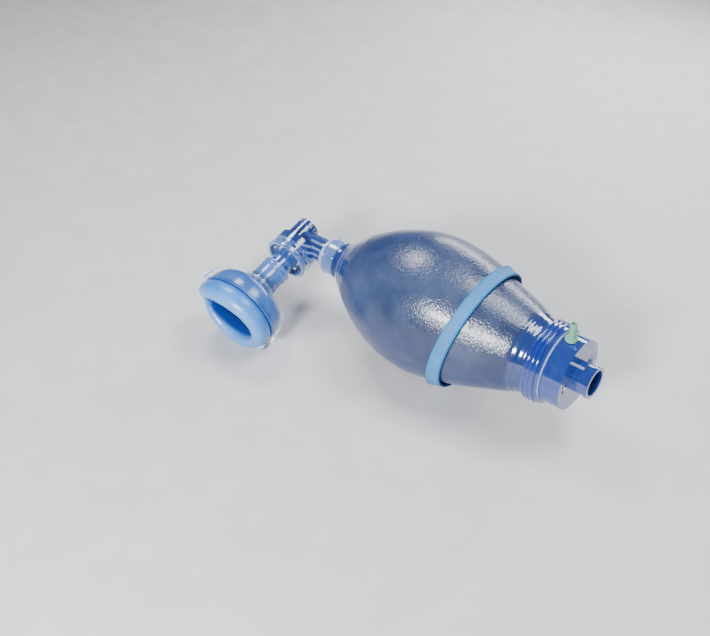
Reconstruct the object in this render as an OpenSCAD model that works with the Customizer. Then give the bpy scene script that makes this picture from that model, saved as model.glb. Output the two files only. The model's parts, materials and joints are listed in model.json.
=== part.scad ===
// Bag valve mask: a self-inflating resuscitator lying on its side.
// +X runs along the bag from its patient end to its intake end, +Z is up, and the mask faces -Y.
// The origin is on the floor, under the middle of the object's box. Millimetres.

/* [Bag] */
// Largest outside diameter of the self-inflating bag
bag_d = 131; // [120:0.5:136]
// Wall of the bag
bag_wall = 2.2; // [1.8:0.1:2.8]
// Depth of the flat that the bag's own weight presses into its underside
bag_flat = 1; // [0.5:0.1:1.4]
// Distance from the patient end to the bag's widest ring
bag_widest = 122; // [115:1:130]
// Where the rear neck of the bag starts
rear_neck_x = 234; // [230:1:238]
// Diameter of the bag's rear neck
rear_neck_d = 68; // [66:1:70]
// Diameter of the bag's front neck
front_neck_d = 32; // [31:0.5:33]

/* [Hand strap] */
// Width of the strap
strap_w = 12; // [9:0.5:15]
// Thickness of the strap
strap_t = 1.6; // [1.2:0.1:2]
// Place of the strap along the bag
strap_x = 168; // [160:1:176]
// Lean of the strap's plane towards the intake end
strap_lean = 13; // [5:1:15]

/* [Patient valve] */
// Distance of the valve's axis before the bag's patient end
valve_x = 37; // [36:0.5:40]
// Diameter of the valve's drum
drum_d = 44; // [43:0.5:46]
// Outside diameter of the inlet tube that plugs into the bag's neck
tube_d = 22; // [21.6:0.1:22]
// Outside diameter of the patient port
port_d = 22; // [21.8:0.1:22]
// Bore of the patient port
port_bore_d = 15; // [14.8:0.1:15.2]

/* [Mask] */
// Length of the cushion's centre line from nose to chin
cushion_length = 68; // [66:1:70]
// Width of the cushion's centre line from cheek to cheek
cushion_width = 57; // [55:1:59]
// Thickness of the inflated cushion, seen from the face
cushion_t = 19; // [17:0.5:20]
// Wall of the mask's shell
shell_wall = 2; // [1.6:0.1:2.4]

/* [Intake end] */
// Bore of the reservoir port
reservoir_bore_d = 23; // [22:0.5:23]
// Outside diameter of the oxygen nipple
nipple_d = 6.2; // [6:0.1:6.6]

/* [Hidden] */
$fn = 96;
run = 0.06;            // radial clearance of parts that turn or slide on each other
seat = 0.1;            // gap between parts that only touch
cut = 0.1;             // overshoot of a cutting shape

bag_r = bag_d / 2;
front_neck_r = front_neck_d / 2;
rear_neck_r = rear_neck_d / 2;
axis_z = bag_r - bag_flat;      // height of the bag's axis above the floor
front_neck_x = [0, 17];         // the straight front neck
rear_neck_len = 13;
tube_r = tube_d / 2;
tube_bore_r = 9.2;
port_r = port_d / 2;
port_bore_r = port_bore_d / 2;
drum_r = drum_d / 2;

// Places along the mask's axis, counted from the bag's axis towards the face
plate_z = 8;           // back of the drum
cavity_z = 10.5;       // floor of the drum's inside
split_z = 16;          // where the outlet housing meets the inlet housing
outlet_z = 27;         // front of the outlet ring
neck_end_z = 40;       // end of the mask's connector
port_end_z = 59;       // end of the patient port
dome_z = 71;           // foot of the mask's connector
rim_z = 96;            // rim of the shell
elbow_x = -8;          // the elbow chamber stands away from the bag by this much
elbow_r = 11.6;
elbow_top_z = -12;
cap_z = -18.5;

// Places along the bag's axis at the intake end
flap_plate_x = 242;
flange_x = [248, 251];
housing_end_x = 270;
port_tip_x = 286;
reservoir_r = reservoir_bore_d / 2;
nipple_x = 259;
nipple_base_r = 35;
nipple_tip_r = 50;

// Outer radius of the bag, x from the patient end
front_steps = 22;
rear_steps = 22;
function front_r(x) = let (u = (x - front_neck_x[1]) / (bag_widest - front_neck_x[1]))
    front_neck_r + (bag_r - front_neck_r) * sin(90 * pow(u, 0.87));
function rear_r(x) = let (u = (x - bag_widest) / (rear_neck_x - bag_widest))
    rear_neck_r + (bag_r - rear_neck_r) * cos(90 * pow(u, 0.84));
function bag_curve(grow) = concat(
    [for (i = [0:front_steps - 1])
        let (x = front_neck_x[1] + (bag_widest - front_neck_x[1]) * i / front_steps)
        [front_r(x) + grow, x]],
    [for (i = [0:rear_steps])
        let (x = bag_widest + (rear_neck_x - bag_widest) * i / rear_steps)
        [rear_r(x) + grow, x]]);

// The cushion: a ring with an egg-shaped centre line, narrow at the nose (-x) and wide at the chin
ring_steps = 60;
section_steps = 18;
egg_k = 0.09;
cushion_top = rim_z + seat;
function egg_x(a) = cushion_length / 2 * cos(a);
function egg_y(a) = cushion_width / 2 * sin(a) * (1 + egg_k * cos(a));
// Height of the cushion: low at the nose and chin, high at the cheeks
function cushion_h(a) = 21.5 - 1.8 * cos(2 * a) + 1.2 * cos(a);
function normal_of(a) = let (dx = -cushion_length / 2 * sin(a),
                             dy = cushion_width / 2 * (cos(a) + egg_k * cos(2 * a)),
                             n = norm([dx, dy])) [dy / n, -dx / n];
// A point of the cushion's skin, wall deep inside it; its section leans in towards the face
function cushion_point(a, b, wall) = let (n = normal_of(a), h = cushion_h(a), up = 0.44 + 0.56 * sin(b),
        w = (cushion_t / 2 - wall) * cos(b) - 2.2 * max(0, up))
    [egg_x(a) + n[0] * w, egg_y(a) + n[1] * w,
     cushion_top + max(0, h * up) + wall * (1 - 2 * max(0, up))];
function cushion_skin(wall) = [for (i = [0:ring_steps - 1]) for (j = [0:section_steps - 1])
    cushion_point(360 * i / ring_steps, 360 * j / section_steps, wall)];
cushion_points = cushion_skin(0);

// The valve and mask turn down about the bag's axis by mask_tilt, until the cushion meets the floor
function lowest(t) = min([for (p = cushion_points) axis_z - p[2] * sin(t) + p[1] * cos(t)]);
function find_tilt(lo, hi, n) = let (mid = (lo + hi) / 2)
    n == 0 ? mid : lowest(mid) > 0 ? find_tilt(mid, hi, n - 1) : find_tilt(lo, mid, n - 1);
mask_tilt = find_tilt(0, 40, 40);

// The object's box, for an origin under its middle
far_y = min([for (p = cushion_points) -p[2] * cos(mask_tilt) - p[1] * sin(mask_tilt)]);
near_x = min([for (p = cushion_points) p[0]]) - valve_x;
shift = [-(near_x + port_tip_x) / 2, -(far_y + bag_r) / 2, axis_z];
stub_n = normal_of(-50);
echo(mask_tilt = mask_tilt, shift = shift, stub_n = stub_n);

// Frames: z runs along the bag's axis, or along the mask's axis with y up
module on_bag_axis() {
    translate(shift) rotate([0, 90, 0]) children();
}
module on_valve_axis() {
    translate(shift + [-valve_x, 0, 0]) rotate([90 + mask_tilt, 0, 0]) children();
}

// A ring or tube between two radii and two heights
module ring(r_in, r_out, z0, z1) {
    translate([0, 0, z0]) difference() {
        cylinder(r = r_out, h = z1 - z0);
        translate([0, 0, -cut]) cylinder(r = r_in, h = z1 - z0 + 2 * cut);
    }
}
module round_ring(r, wire_r, z) {
    translate([0, 0, z]) rotate_extrude() translate([r, 0]) circle(r = wire_r, $fn = 24);
}

/* ---- the bag and its strap ---- */
module bag_solid(grow, ends) {
    rotate_extrude() polygon(concat(
        [[0, front_neck_x[0] - ends], [front_neck_r + grow, front_neck_x[0] - ends]],
        bag_curve(grow),
        [[rear_neck_r + grow, rear_neck_x + rear_neck_len + ends],
         [0, rear_neck_x + rear_neck_len + ends]]));
}
module above_floor(h) {
    size = 2 * bag_d;
    rotate([0, -90, 0]) translate([0, 0, -axis_z + h + size / 2])
        cube([3 * size, size, size], center = true);
}
module bag() {
    color([0.36, 0.47, 0.72, 0.6]) on_bag_axis() difference() {
        intersection() {
            bag_solid(0, 0);
            above_floor(0);
        }
        intersection() {
            bag_solid(-bag_wall, cut);
            above_floor(bag_wall - bag_flat / 2);
        }
    }
}
module strap_shell(gap) {
    translate([-1.2, 0, 0]) bag_solid(gap, 0);
}
module hand_strap() {
    color("skyblue") on_bag_axis() intersection() {
        difference() {
            strap_shell(1.7 + strap_t);
            strap_shell(1.7);
        }
        translate([0, 0, strap_x]) rotate([0, strap_lean, 0])
            cube([2 * bag_d, 2 * bag_d, strap_w], center = true);
    }
}

/* ---- the bag's patient end ---- */
module neck_clamp_ring() {
    color([0.55, 0.68, 0.9, 0.7]) on_bag_axis() difference() {
        union() {
            ring(front_neck_r + seat, front_neck_r + 1.4, 0.6, 13);
            round_ring(front_neck_r + 1, 0.9, 1.6);
            round_ring(front_neck_r + 1, 0.9, 12);
        }
        cylinder(r = front_neck_r + seat, h = 20);
    }
}
module neck_insert() {
    color([0.7, 0.8, 0.95, 0.7]) on_bag_axis() difference() {
        union() {
            ring(tube_r + run, front_neck_r - bag_wall - seat, -1, 18);
            rotate_extrude() polygon([[tube_r + run, -5], [14, -5], [front_neck_r, -3.4],
                                      [front_neck_r + 1.1, -1.6], [front_neck_r + 1.1, -seat], [tube_r + run, -seat]]);
        }
        ring(tube_r - 1, tube_r + 1.1, 9.4, 11.4);
    }
}
module neck_o_ring() {
    color([0.12, 0.12, 0.14]) on_bag_axis() ring(tube_r + run, tube_r + 1.05, 9.5, 11.3);
}

/* ---- the intake end ---- */
module rear_collar() {
    color([0.3, 0.42, 0.75, 0.7]) on_bag_axis() difference() {
        union() {
            ring(rear_neck_r + seat, rear_neck_r + 1.8, rear_neck_x + 2, flange_x[0] - seat);
            for (i = [0:2]) round_ring(rear_neck_r + 1.5, 1.3, rear_neck_x + 4 + i * 4.2);
        }
        cylinder(r = rear_neck_r + seat, h = 300);
    }
}
module intake_housing() {
    bore_r = rear_neck_r - bag_wall - 2;
    color([0.25, 0.38, 0.75, 0.7]) on_bag_axis() difference() {
        union() {
            ring(bore_r, rear_neck_r - bag_wall - seat, rear_neck_x + 1, flange_x[0]);
            ring(0, bore_r + 0.5, flap_plate_x, flap_plate_x + 2);
            ring(bore_r, rear_neck_r + 1.4, flange_x[0], flange_x[1]);
            ring(27.5, 29.4, flange_x[1] - 0.5, flange_x[1] + 7);
            ring(27.5, bore_r + 0.5, flange_x[1] - 1.5, flange_x[1]);
        }
        for (i = [0:5]) rotate([0, 0, 60 * i]) translate([13.5, 0, flap_plate_x - 1])
            cylinder(r = 5.2, h = 4);
        translate([0, 0, flap_plate_x - 1]) cylinder(r = 1.6, h = 4);
    }
}
module intake_flap() {
    color([0.95, 0.93, 0.86]) on_bag_axis() ring(1.75, 21, flap_plate_x - 1.1, flap_plate_x - 0.1);
}
module intake_flap_button() {
    color([0.85, 0.87, 0.9]) on_bag_axis() {
        translate([0, 0, flap_plate_x - 3.9]) cylinder(r = 4.2, h = 1.2);
        translate([0, 0, flap_plate_x - 2.8]) cylinder(r = 1.55, h = 4.9);
        translate([0, 0, flap_plate_x + 2.1]) cylinder(r = 2.4, h = 0.9);
    }
}
module rear_seal() {
    color([0.9, 0.9, 0.88]) on_bag_axis() ring(29.5, 33.5, flange_x[1] + 0.05, flange_x[1] + 1);
}
flap_ring_r = 22;   // distance of the two small flaps from the bag's axis
module small_flaps() {
    for (side = [0, 1]) rotate([0, 0, 90 + 180 * side]) translate([flap_ring_r, 0, 0]) children(side);
}
module reservoir_housing() {
    wall = [29.5, 32];
    end_plate = [housing_end_x - 2.5, housing_end_x];
    color([0.25, 0.38, 0.75, 0.7]) on_bag_axis() difference() {
        union() {
            ring(wall[0], wall[1], flange_x[1] + 1.1, housing_end_x);
            ring(reservoir_r, wall[0] + 0.5, end_plate[0], end_plate[1]);
            ring(reservoir_r, reservoir_r + 2.2, end_plate[0], port_tip_x);
            ring(reservoir_r + 1.5, reservoir_r + 3, port_tip_x - 3, port_tip_x);
        }
        for (i = [0:1]) rotate([0, 0, 90 + 180 * i]) translate([flap_ring_r, 0, end_plate[0] - 1]) {
            cylinder(r = 1.05, h = 5);
            for (j = [0:3]) rotate([0, 0, 45 + 90 * j]) translate([3.2, 0, 0]) cylinder(r = 1.5, h = 5);
        }
        translate([0, 0, nipple_x]) rotate([0, -90, 0]) cylinder(r = 4, h = 40);
    }
}
module overflow_flap() {
    color([0.95, 0.93, 0.86]) on_bag_axis() rotate([0, 0, 90]) translate([flap_ring_r, 0, 0])
        ring(1.15, 5.6, housing_end_x + 0.05, housing_end_x + 0.75);
}
module air_inlet_flap() {
    color([0.95, 0.93, 0.86]) on_bag_axis() rotate([0, 0, 270]) translate([flap_ring_r, 0, 0])
        ring(1.15, 5.6, housing_end_x - 3.25, housing_end_x - 2.55);
}
module flap_button(dir) {
    // dir 1: the head is outside the end plate; dir 0: inside it
    z = dir == 1 ? [housing_end_x + 1.6, housing_end_x - 3.3]
                 : [housing_end_x - 4.9, housing_end_x + 0.1];
    translate([0, 0, z[0]]) cylinder(r = 2.2, h = 0.8);
    translate([0, 0, z[1]]) cylinder(r = 1.7, h = 0.7);
    translate([0, 0, min(z) + 0.3]) cylinder(r = 1, h = abs(z[0] - z[1]));
}
module reservoir_flap_buttons() {
    color([0.85, 0.87, 0.9]) on_bag_axis() small_flaps() {
        flap_button(1);
        flap_button(0);
    }
}
module oxygen_nipple() {
    base_r = 3.9;
    color([0.5, 0.75, 0.6]) on_bag_axis() translate([0, 0, nipple_x]) rotate([0, -90, 0])
        difference() {
            union() {
                translate([0, 0, 29.6]) cylinder(r = base_r, h = 3);
                translate([0, 0, 32.4]) cylinder(r = base_r + 1.6, h = nipple_base_r - 32.4);
                translate([0, 0, nipple_base_r]) cylinder(d = nipple_d, h = nipple_tip_r - nipple_base_r - 2);
                translate([0, 0, nipple_tip_r - 2])
                    cylinder(r1 = nipple_d / 2, r2 = nipple_d / 2 - 0.7, h = 2);
            }
            translate([0, 0, 29]) cylinder(r = 1.6, h = 25);
        }
}

/* ---- the patient valve ---- */
tube_stop_x = valve_x - 5.3;       // the shoulder that meets the neck insert
tube_end_x = valve_x + 20.6;
module along_tube() {
    rotate([0, 90, 0]) children();
}
module tube_ribs() {
    rib_end = tube_stop_x - 2;
    for (i = [0:5]) rotate([0, 0, 60 * i + 30]) translate([tube_r + 0.1, 0, (rib_end + 6) / 2])
        cube([1.6, 1.6, rib_end - 6], center = true);
}
module valve_inlet_housing() {
    color([0.3, 0.42, 0.78, 0.65]) on_valve_axis() difference() {
        union() {
            translate([elbow_x, 0, elbow_top_z]) cylinder(r = elbow_r, h = plate_z + 1 - elbow_top_z);
            translate([0, 0, plate_z]) cylinder(r = drum_r, h = split_z - plate_z - seat);
            along_tube() cylinder(r = tube_r, h = tube_end_x);
            along_tube() tube_ribs();
            along_tube() translate([0, 0, tube_stop_x - 2.2]) cylinder(r = tube_r + 1.4, h = 2.2);
            translate([elbow_x, 0, 0]) ring(8.4, 9.6, elbow_top_z - 2.6, elbow_top_z + 0.5);
        }
        translate([elbow_x, 0, elbow_top_z + 1.5]) cylinder(r = elbow_r - 1.8, h = cavity_z - 1.1 - elbow_top_z - 1.5);
        translate([elbow_x + 1.2, 0, 0]) cylinder(r = 7, h = 14);
        translate([elbow_x, 0, elbow_top_z - 1]) cylinder(r = 5.5, h = 4);
        translate([0, 0, cavity_z]) difference() {
            cylinder(r = drum_r - 2, h = 10);
            ring(15, 17, -1, 0.8);
        }
        along_tube() translate([0, 0, elbow_x]) cylinder(r = tube_bore_r, h = 80);
        along_tube() ring(tube_r - 0.9, tube_r + 2, valve_x + 18.3, valve_x + 19.7);
    }
}
module inlet_snap_ring() {
    color([0.92, 0.92, 0.95]) on_valve_axis() along_tube() difference() {
        ring(tube_r - 0.85, tube_r + 1.7, valve_x + 18.35, valve_x + 19.65);
        translate([0, tube_r, valve_x + 19]) cube([3, 8, 4], center = true);
    }
}
module valve_seal() {
    color([0.92, 0.92, 0.9]) on_valve_axis() ring(18.3, 19.9, cavity_z + 0.05, split_z - 4.65);
}
module valve_outlet_housing() {
    color([0.3, 0.42, 0.78, 0.65]) on_valve_axis() difference() {
        union() {
            ring(18.2, drum_r - 2 - seat, split_z - 4.6, split_z + 0.5);
            ring(port_r + run, drum_r - 0.6, split_z, split_z + 2);
            ring(13.1, 14.4, cavity_z + 2.3, split_z + 0.5);
            ring(drum_r - 2.6, drum_r - 0.6, split_z, outlet_z);
            ring(port_r + run, 13.2, split_z, split_z + 3.6);
            rotate_extrude() polygon([[drum_r - 2.6, outlet_z - 3], [drum_r - 0.6, outlet_z - 4.4],
                                      [drum_r + 0.5, outlet_z - 3.2], [drum_r + 0.5, outlet_z - 0.6],
                                      [drum_r - 0.1, outlet_z], [drum_r - 2.6, outlet_z]]);
        }
        for (i = [0:11]) rotate([0, 0, 30 * i]) {
            translate([16.6, 0, split_z - 1]) cylinder(r = 1.5, h = 4);
            translate([drum_r - 1.6, 0, split_z + 4.1]) cube([4, 4.4, 3], center = true);
        }
    }
}
module lip_valve() {
    flange_z = cavity_z + 0.9;
    bill_z = 20.8;
    color([0.96, 0.88, 0.55]) on_valve_axis() difference() {
        union() {
            translate([0, 0, flange_z]) cylinder(r = 18, h = 1.2);
            hull() {
                translate([0, 0, flange_z + 1.1]) cylinder(r = 8, h = 0.1, $fn = 32);
                translate([0, 0, bill_z]) cube([11, 1.8, 0.1], center = true);
            }
        }
        hull() {
            translate([0, 0, flange_z - 0.1]) cylinder(r = 7, h = 0.1, $fn = 32);
            translate([0, 0, bill_z + 0.2]) cube([9, 0.4, 0.1], center = true);
        }
    }
}
module patient_port() {
    color([0.35, 0.5, 0.85, 0.6]) on_valve_axis() difference() {
        union() {
            translate([0, 0, split_z - 1.8]) cylinder(r = 12.9, h = 1.7);
            translate([0, 0, split_z - 0.2]) cylinder(r = port_r, h = port_end_z - split_z + 0.2);
        }
        translate([0, 0, 10]) cylinder(r = port_bore_r, h = 60);
        translate([0, 0, split_z - 1.9]) cylinder(r1 = 9.6, r2 = port_bore_r, h = 6);
        ring(port_r - 0.9, port_r + 1, split_z + 3.75, split_z + 5.35);
    }
}
module port_snap_ring() {
    color([0.92, 0.92, 0.95]) on_valve_axis() difference() {
        ring(port_r - 0.85, port_r + 1.5, split_z + 3.8, split_z + 5.3);
        translate([0, port_r, split_z + 4.5]) cube([3, 8, 4], center = true);
    }
}

/* ---- the pressure relief on the elbow ---- */
poppet_z = elbow_top_z - 0.1;
spring_r = 4.4;
spring_wire = 0.35;
module relief_poppet() {
    color([0.93, 0.93, 0.95]) on_valve_axis() translate([elbow_x, 0, 0]) {
        translate([0, 0, poppet_z - 1.2]) cylinder(r = 7.4, h = 1.2);
        translate([0, 0, poppet_z - 4.5]) cylinder(r = 1.4, h = 4);
        translate([0, 0, poppet_z - 1]) cylinder(r = 3, h = 2);
    }
}
// The coil: rings of points swept along a helix
turns = 3;
coil_rings = 48;
coil_z = [poppet_z - 1.3 - spring_wire, cap_z + 1.6 + spring_wire];
function coil_point(t, b) = let (a = 360 * turns * t,
                                 r = spring_r + spring_wire * cos(b),
                                 z = coil_z[0] + (coil_z[1] - coil_z[0]) * t)
    [r * cos(a), r * sin(a), z + spring_wire * sin(b)];
module relief_spring() {
    n = 8;
    points = [for (i = [0:coil_rings]) for (j = [0:n - 1]) coil_point(i / coil_rings, -360 * j / n)];
    sides = [for (i = [0:coil_rings - 1]) for (j = [0:n - 1])
        [n * i + j, n * (i + 1) + j, n * (i + 1) + (j + 1) % n, n * i + (j + 1) % n]];
    caps = [[for (j = [0:n - 1]) j], [for (j = [0:n - 1]) n * (coil_rings + 1) - 1 - j]];
    color("silver") on_valve_axis() translate([elbow_x, 0, 0]) polyhedron(points, concat(sides, caps));
}
module relief_cap() {
    color([0.25, 0.35, 0.7, 0.65]) on_valve_axis() translate([elbow_x, 0, 0]) difference() {
        union() {
            translate([0, 0, cap_z]) cylinder(r = 11, h = elbow_top_z - seat - cap_z);
            for (i = [0:17]) rotate([0, 0, 20 * i]) translate([10.9, 0, cap_z + 0.6])
                cylinder(r = 0.6, h = elbow_top_z - seat - cap_z - 1.2, $fn = 16);
        }
        translate([0, 0, cap_z + 1.5]) cylinder(r = 9.6 + run, h = 10);
        translate([0, 0, cap_z - 1]) cylinder(r = 1.5, h = 4);
        for (i = [0:5]) rotate([0, 0, 60 * i]) translate([7.4, 0, cap_z - 1]) cylinder(r = 1.4, h = 4);
    }
}

/* ---- the mask ---- */
neck_r = 14;
// The dome's outside, from the neck to the rim: radius, height, and how much of the egg shape it has
dome = [[neck_r - 0.4, dome_z - 3.5, 0], [neck_r + 0.3, dome_z - 1.5, 0], [neck_r + 2, dome_z, 0],
        [21.4, dome_z + 1.2, 0.15], [28.3, dome_z + 3, 0.45], [33.2, dome_z + 6, 0.75], [36.2, dome_z + 10, 0.9],
        [37.8, dome_z + 15, 1], [38.4, dome_z + 20, 1], [38.7, rim_z - 1.8, 1], [39.7, rim_z - 1.6, 1],
        [39.7, rim_z, 1]];
dome_inside = [[34.9, rim_z, 1], [34.9, rim_z - 1.6, 1], [38.7 - shell_wall, rim_z - 2, 1],
        [37.8 - shell_wall, dome_z + 15.3, 1], [36.2 - shell_wall, dome_z + 11, 0.9],
        [33.2 - shell_wall, dome_z + 7.4, 0.75], [27.6, dome_z + 4.8, 0.45], [21.1, dome_z + 3, 0.15],
        [neck_r + 0.6, dome_z + 2, 0], [neck_r - 2.2, dome_z - 0.2, 0], [neck_r - 2.6, dome_z - 3.5, 0]];
centre_r = (cushion_length + cushion_width) / 4;
function dome_point(a, p) = let (n = normal_of(a), w = p[0] - centre_r, k = p[2])
    [(1 - k) * p[0] * cos(a) + k * (egg_x(a) + n[0] * w),
     (1 - k) * p[0] * sin(a) + k * (egg_y(a) + n[1] * w), p[1]];
module mask_shell() {
    profile = concat(dome_inside, [for (i = [len(dome) - 1:-1:0]) dome[len(dome) - 1 - i]]);
    points = [for (i = [0:ring_steps - 1]) for (p = profile) dome_point(360 * i / ring_steps, p)];
    neck = [[neck_r + 0.6, neck_end_z], [neck_r + 0.6, neck_end_z + 1.8], [neck_r, neck_end_z + 2.6],
            [neck_r, dome_z - 1.8], [port_r - 0.6, dome_z - 0.6], [port_r - 0.6, port_end_z + 1],
            [port_r + run, port_end_z + 1], [port_r + run, neck_end_z]];
    color([0.5, 0.68, 0.92, 0.75]) on_valve_axis() {
        rotate_extrude() polygon(neck);
        egg_ring(points, len(profile));
    }
}
module egg_ring(points, n) {
    m = ring_steps;
    faces = [for (i = [0:m - 1]) for (j = [0:n - 1])
        [n * i + j, n * i + (j + 1) % n, n * ((i + 1) % m) + (j + 1) % n, n * ((i + 1) % m) + j]];
    polyhedron(points, faces);
}
module mask_cushion() {
    color([0.42, 0.65, 0.93, 0.85]) on_valve_axis() difference() {
        egg_ring(cushion_points, section_steps);
        egg_ring(cushion_skin(1.2), section_steps);
    }
}
module hook_arm() {
    w = 5;
    arm = [[15.6, dome_z - 4.8], [17.4, dome_z - 4.8], [19.6, dome_z - 1.6], [23, dome_z - 0.7],
           [33, dome_z + 1.5], [38.6, dome_z + 5], [42.1, dome_z + 10], [43.3, dome_z + 16], [43.5, dome_z + 20.6],
           [44.5, dome_z + 22.6], [43.4, dome_z + 23.4], [42.3, dome_z + 21.5], [41.7, dome_z + 16],
           [40.7, dome_z + 11], [37.6, dome_z + 6.4], [32.6, dome_z + 3.1], [23, dome_z + 0.7],
           [18.6, dome_z - 0.1], [15.6, dome_z - 2.8]];
    rotate([90, 0, 0]) linear_extrude(w, center = true) polygon(arm);
    // the forked end that a head strap hooks over
    for (side = [-1, 1]) translate([43.9, side * 1.3, dome_z + 22]) rotate([side * -36, 8, 0])
        cylinder(r = 1.1, h = 6, $fn = 24);
}
hook_turn = -30;
module hook_ring() {
    color([0.86, 0.9, 0.95, 0.8]) on_valve_axis() rotate([0, 0, hook_turn]) {
        ring(neck_r + 0.45, neck_r + 3.4, dome_z - 5.6, dome_z - 3);
        for (i = [0:1]) rotate([0, 0, 180 * i]) hook_arm();
    }
}
// The inflation valve stands out of the cushion's side near the chin
valve_turn = -50;
stub_z = cushion_top + 8.5;
stub_r = [cushion_t / 2 - 1, cushion_t / 2 + 2.6];
module at_stub() {
    n = normal_of(valve_turn);
    on_valve_axis() translate([egg_x(valve_turn), egg_y(valve_turn), stub_z])
        rotate([0, 0, atan2(n[1], n[0])]) rotate([0, 90, 0]) children();
}
module inflation_valve() {
    color([0.9, 0.93, 0.97]) at_stub() difference() {
        union() {
            translate([0, 0, stub_r[0]]) cylinder(r = 2.4, h = stub_r[1] - stub_r[0]);
            translate([0, 0, stub_r[0]]) cylinder(r = 3.8, h = 0.9);
        }
        translate([0, 0, stub_r[0] + 0.8]) cylinder(r = 1.5, h = 10);
    }
}
module inflation_plug() {
    color([0.25, 0.45, 0.85]) at_stub() {
        translate([0, 0, stub_r[1] - 2.2]) cylinder(r = 1.5 - run, h = 2.4);
        translate([0, 0, stub_r[1] + 0.1]) cylinder(r = 2.5, h = 1.5);
    }
}

bag();
neck_clamp_ring();
neck_insert();
neck_o_ring();
hand_strap();
rear_collar();
intake_housing();
intake_flap();
intake_flap_button();
rear_seal();
reservoir_housing();
overflow_flap();
air_inlet_flap();
reservoir_flap_buttons();
oxygen_nipple();
valve_inlet_housing();
inlet_snap_ring();
valve_outlet_housing();
valve_seal();
lip_valve();
patient_port();
port_snap_ring();
relief_poppet();
relief_spring();
relief_cap();
mask_shell();
mask_cushion();
hook_ring();
inflation_valve();
inflation_plug();
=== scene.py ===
# %% [markdown]
# # A bag valve mask
# A hand-squeezed resuscitator: a translucent blue bag with a strap, a see-through patient valve, and a
# face mask with an air-filled cushion. The hard parts are already exact in the CAD model, so this lesson
# loads them, rounds their edges, makes the soft parts properly and gives every surface its finish.

# %% Load the fixed frame
import json
import math

import bmesh
import bpy
from mathutils import Matrix, Vector, noise

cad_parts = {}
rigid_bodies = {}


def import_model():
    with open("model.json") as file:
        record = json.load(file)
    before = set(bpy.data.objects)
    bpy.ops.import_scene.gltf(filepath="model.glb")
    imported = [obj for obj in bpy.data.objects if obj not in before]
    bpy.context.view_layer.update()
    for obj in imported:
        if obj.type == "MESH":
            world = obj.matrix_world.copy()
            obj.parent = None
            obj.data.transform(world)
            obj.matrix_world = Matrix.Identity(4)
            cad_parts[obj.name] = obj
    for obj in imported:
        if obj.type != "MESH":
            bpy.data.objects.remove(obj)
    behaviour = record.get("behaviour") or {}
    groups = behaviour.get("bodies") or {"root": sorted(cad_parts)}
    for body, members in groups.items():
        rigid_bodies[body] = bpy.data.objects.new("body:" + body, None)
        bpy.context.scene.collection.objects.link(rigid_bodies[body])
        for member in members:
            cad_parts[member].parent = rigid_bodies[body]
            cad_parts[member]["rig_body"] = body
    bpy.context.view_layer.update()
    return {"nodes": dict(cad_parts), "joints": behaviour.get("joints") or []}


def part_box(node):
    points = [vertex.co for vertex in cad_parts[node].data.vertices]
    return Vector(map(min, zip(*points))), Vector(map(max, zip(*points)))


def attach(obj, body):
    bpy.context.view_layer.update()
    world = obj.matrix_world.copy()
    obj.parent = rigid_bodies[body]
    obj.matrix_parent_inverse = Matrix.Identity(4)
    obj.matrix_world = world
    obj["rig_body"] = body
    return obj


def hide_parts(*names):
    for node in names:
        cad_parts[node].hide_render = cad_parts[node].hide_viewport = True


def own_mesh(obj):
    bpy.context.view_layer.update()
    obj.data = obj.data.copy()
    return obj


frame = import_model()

joints = {joint["name"]: joint for joint in frame["joints"]}

# %% [markdown]
# ## Where things are
# Two axes carry the whole object. The bag is turned about one, which lies along X. The valve and the mask
# are turned about the other, which leaves the valve towards the face. Each gets a frame in millimetres, so
# a piece can be made upright about Z, as on a lathe, and placed in one step.

# %% The two working frames
MM = 0.001
insert_low, insert_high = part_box("neck_insert")
axis_y = (insert_low.y + insert_high.y) / 2
axis_z = (insert_low.z + insert_high.z) / 2
neck_x = insert_low.x + 5 * MM              # the bag starts 5 mm behind the insert's lip
face_way = Vector(joints["port_swivel"]["axis"]).normalized()
valve_x = joints["port_swivel"]["pos_m"][0]


def working_frame(origin, along, side):
    """Local z runs along 'along', local x along 'side'; one unit is a millimetre."""
    third = along.cross(side)
    turn = Matrix((side, third, along)).transposed().to_4x4()
    return Matrix.Translation(origin) @ turn @ Matrix.Scale(MM, 4)


on_bag = working_frame(Vector((neck_x, axis_y, axis_z)), Vector((1, 0, 0)), Vector((0, 0, 1)))
on_valve = working_frame(Vector((valve_x, axis_y, axis_z)), face_way, Vector((1, 0, 0)))
mask_tilt = math.degrees(math.asin(-face_way.z))
print("bag axis height", round(axis_z, 4), "mask points down by", round(mask_tilt, 1), "degrees")

# %% [markdown]
# ## Camera
# The device is seen from its front right, about forty degrees around and from as far above, from about a
# metre away. The camera is placed first so that every later choice can be judged through it.

# %% Camera
VIEW_AROUND, VIEW_ABOVE, VIEW_DISTANCE = math.radians(39.77), math.radians(38.57), 1.0
FRAME_WIDTH, FOCAL = 710, 1040
NECK_IN_FRAME = (-0.0324, 0.0880)           # the bag's neck from the frame's middle, in frame widths
away = Vector((math.sin(VIEW_AROUND) * math.cos(VIEW_ABOVE),
               -math.cos(VIEW_AROUND) * math.cos(VIEW_ABOVE), math.sin(VIEW_ABOVE)))
to_right = Vector((math.cos(VIEW_AROUND), math.sin(VIEW_AROUND), 0))
upward = away.cross(to_right)
step = VIEW_DISTANCE * FRAME_WIDTH / FOCAL
camera_data = bpy.data.cameras.new("camera")
camera_data.sensor_width = 36
camera_data.lens = 36 * FOCAL / FRAME_WIDTH
camera_data.clip_end = 20
camera = bpy.data.objects.new("camera", camera_data)
bpy.context.scene.collection.objects.link(camera)
place = (Vector((neck_x, axis_y, axis_z)) - NECK_IN_FRAME[0] * step * to_right
         - NECK_IN_FRAME[1] * step * upward + VIEW_DISTANCE * away)
camera.matrix_world = Matrix.Translation(place) @ Matrix((to_right, upward, away)).transposed().to_4x4()
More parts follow.
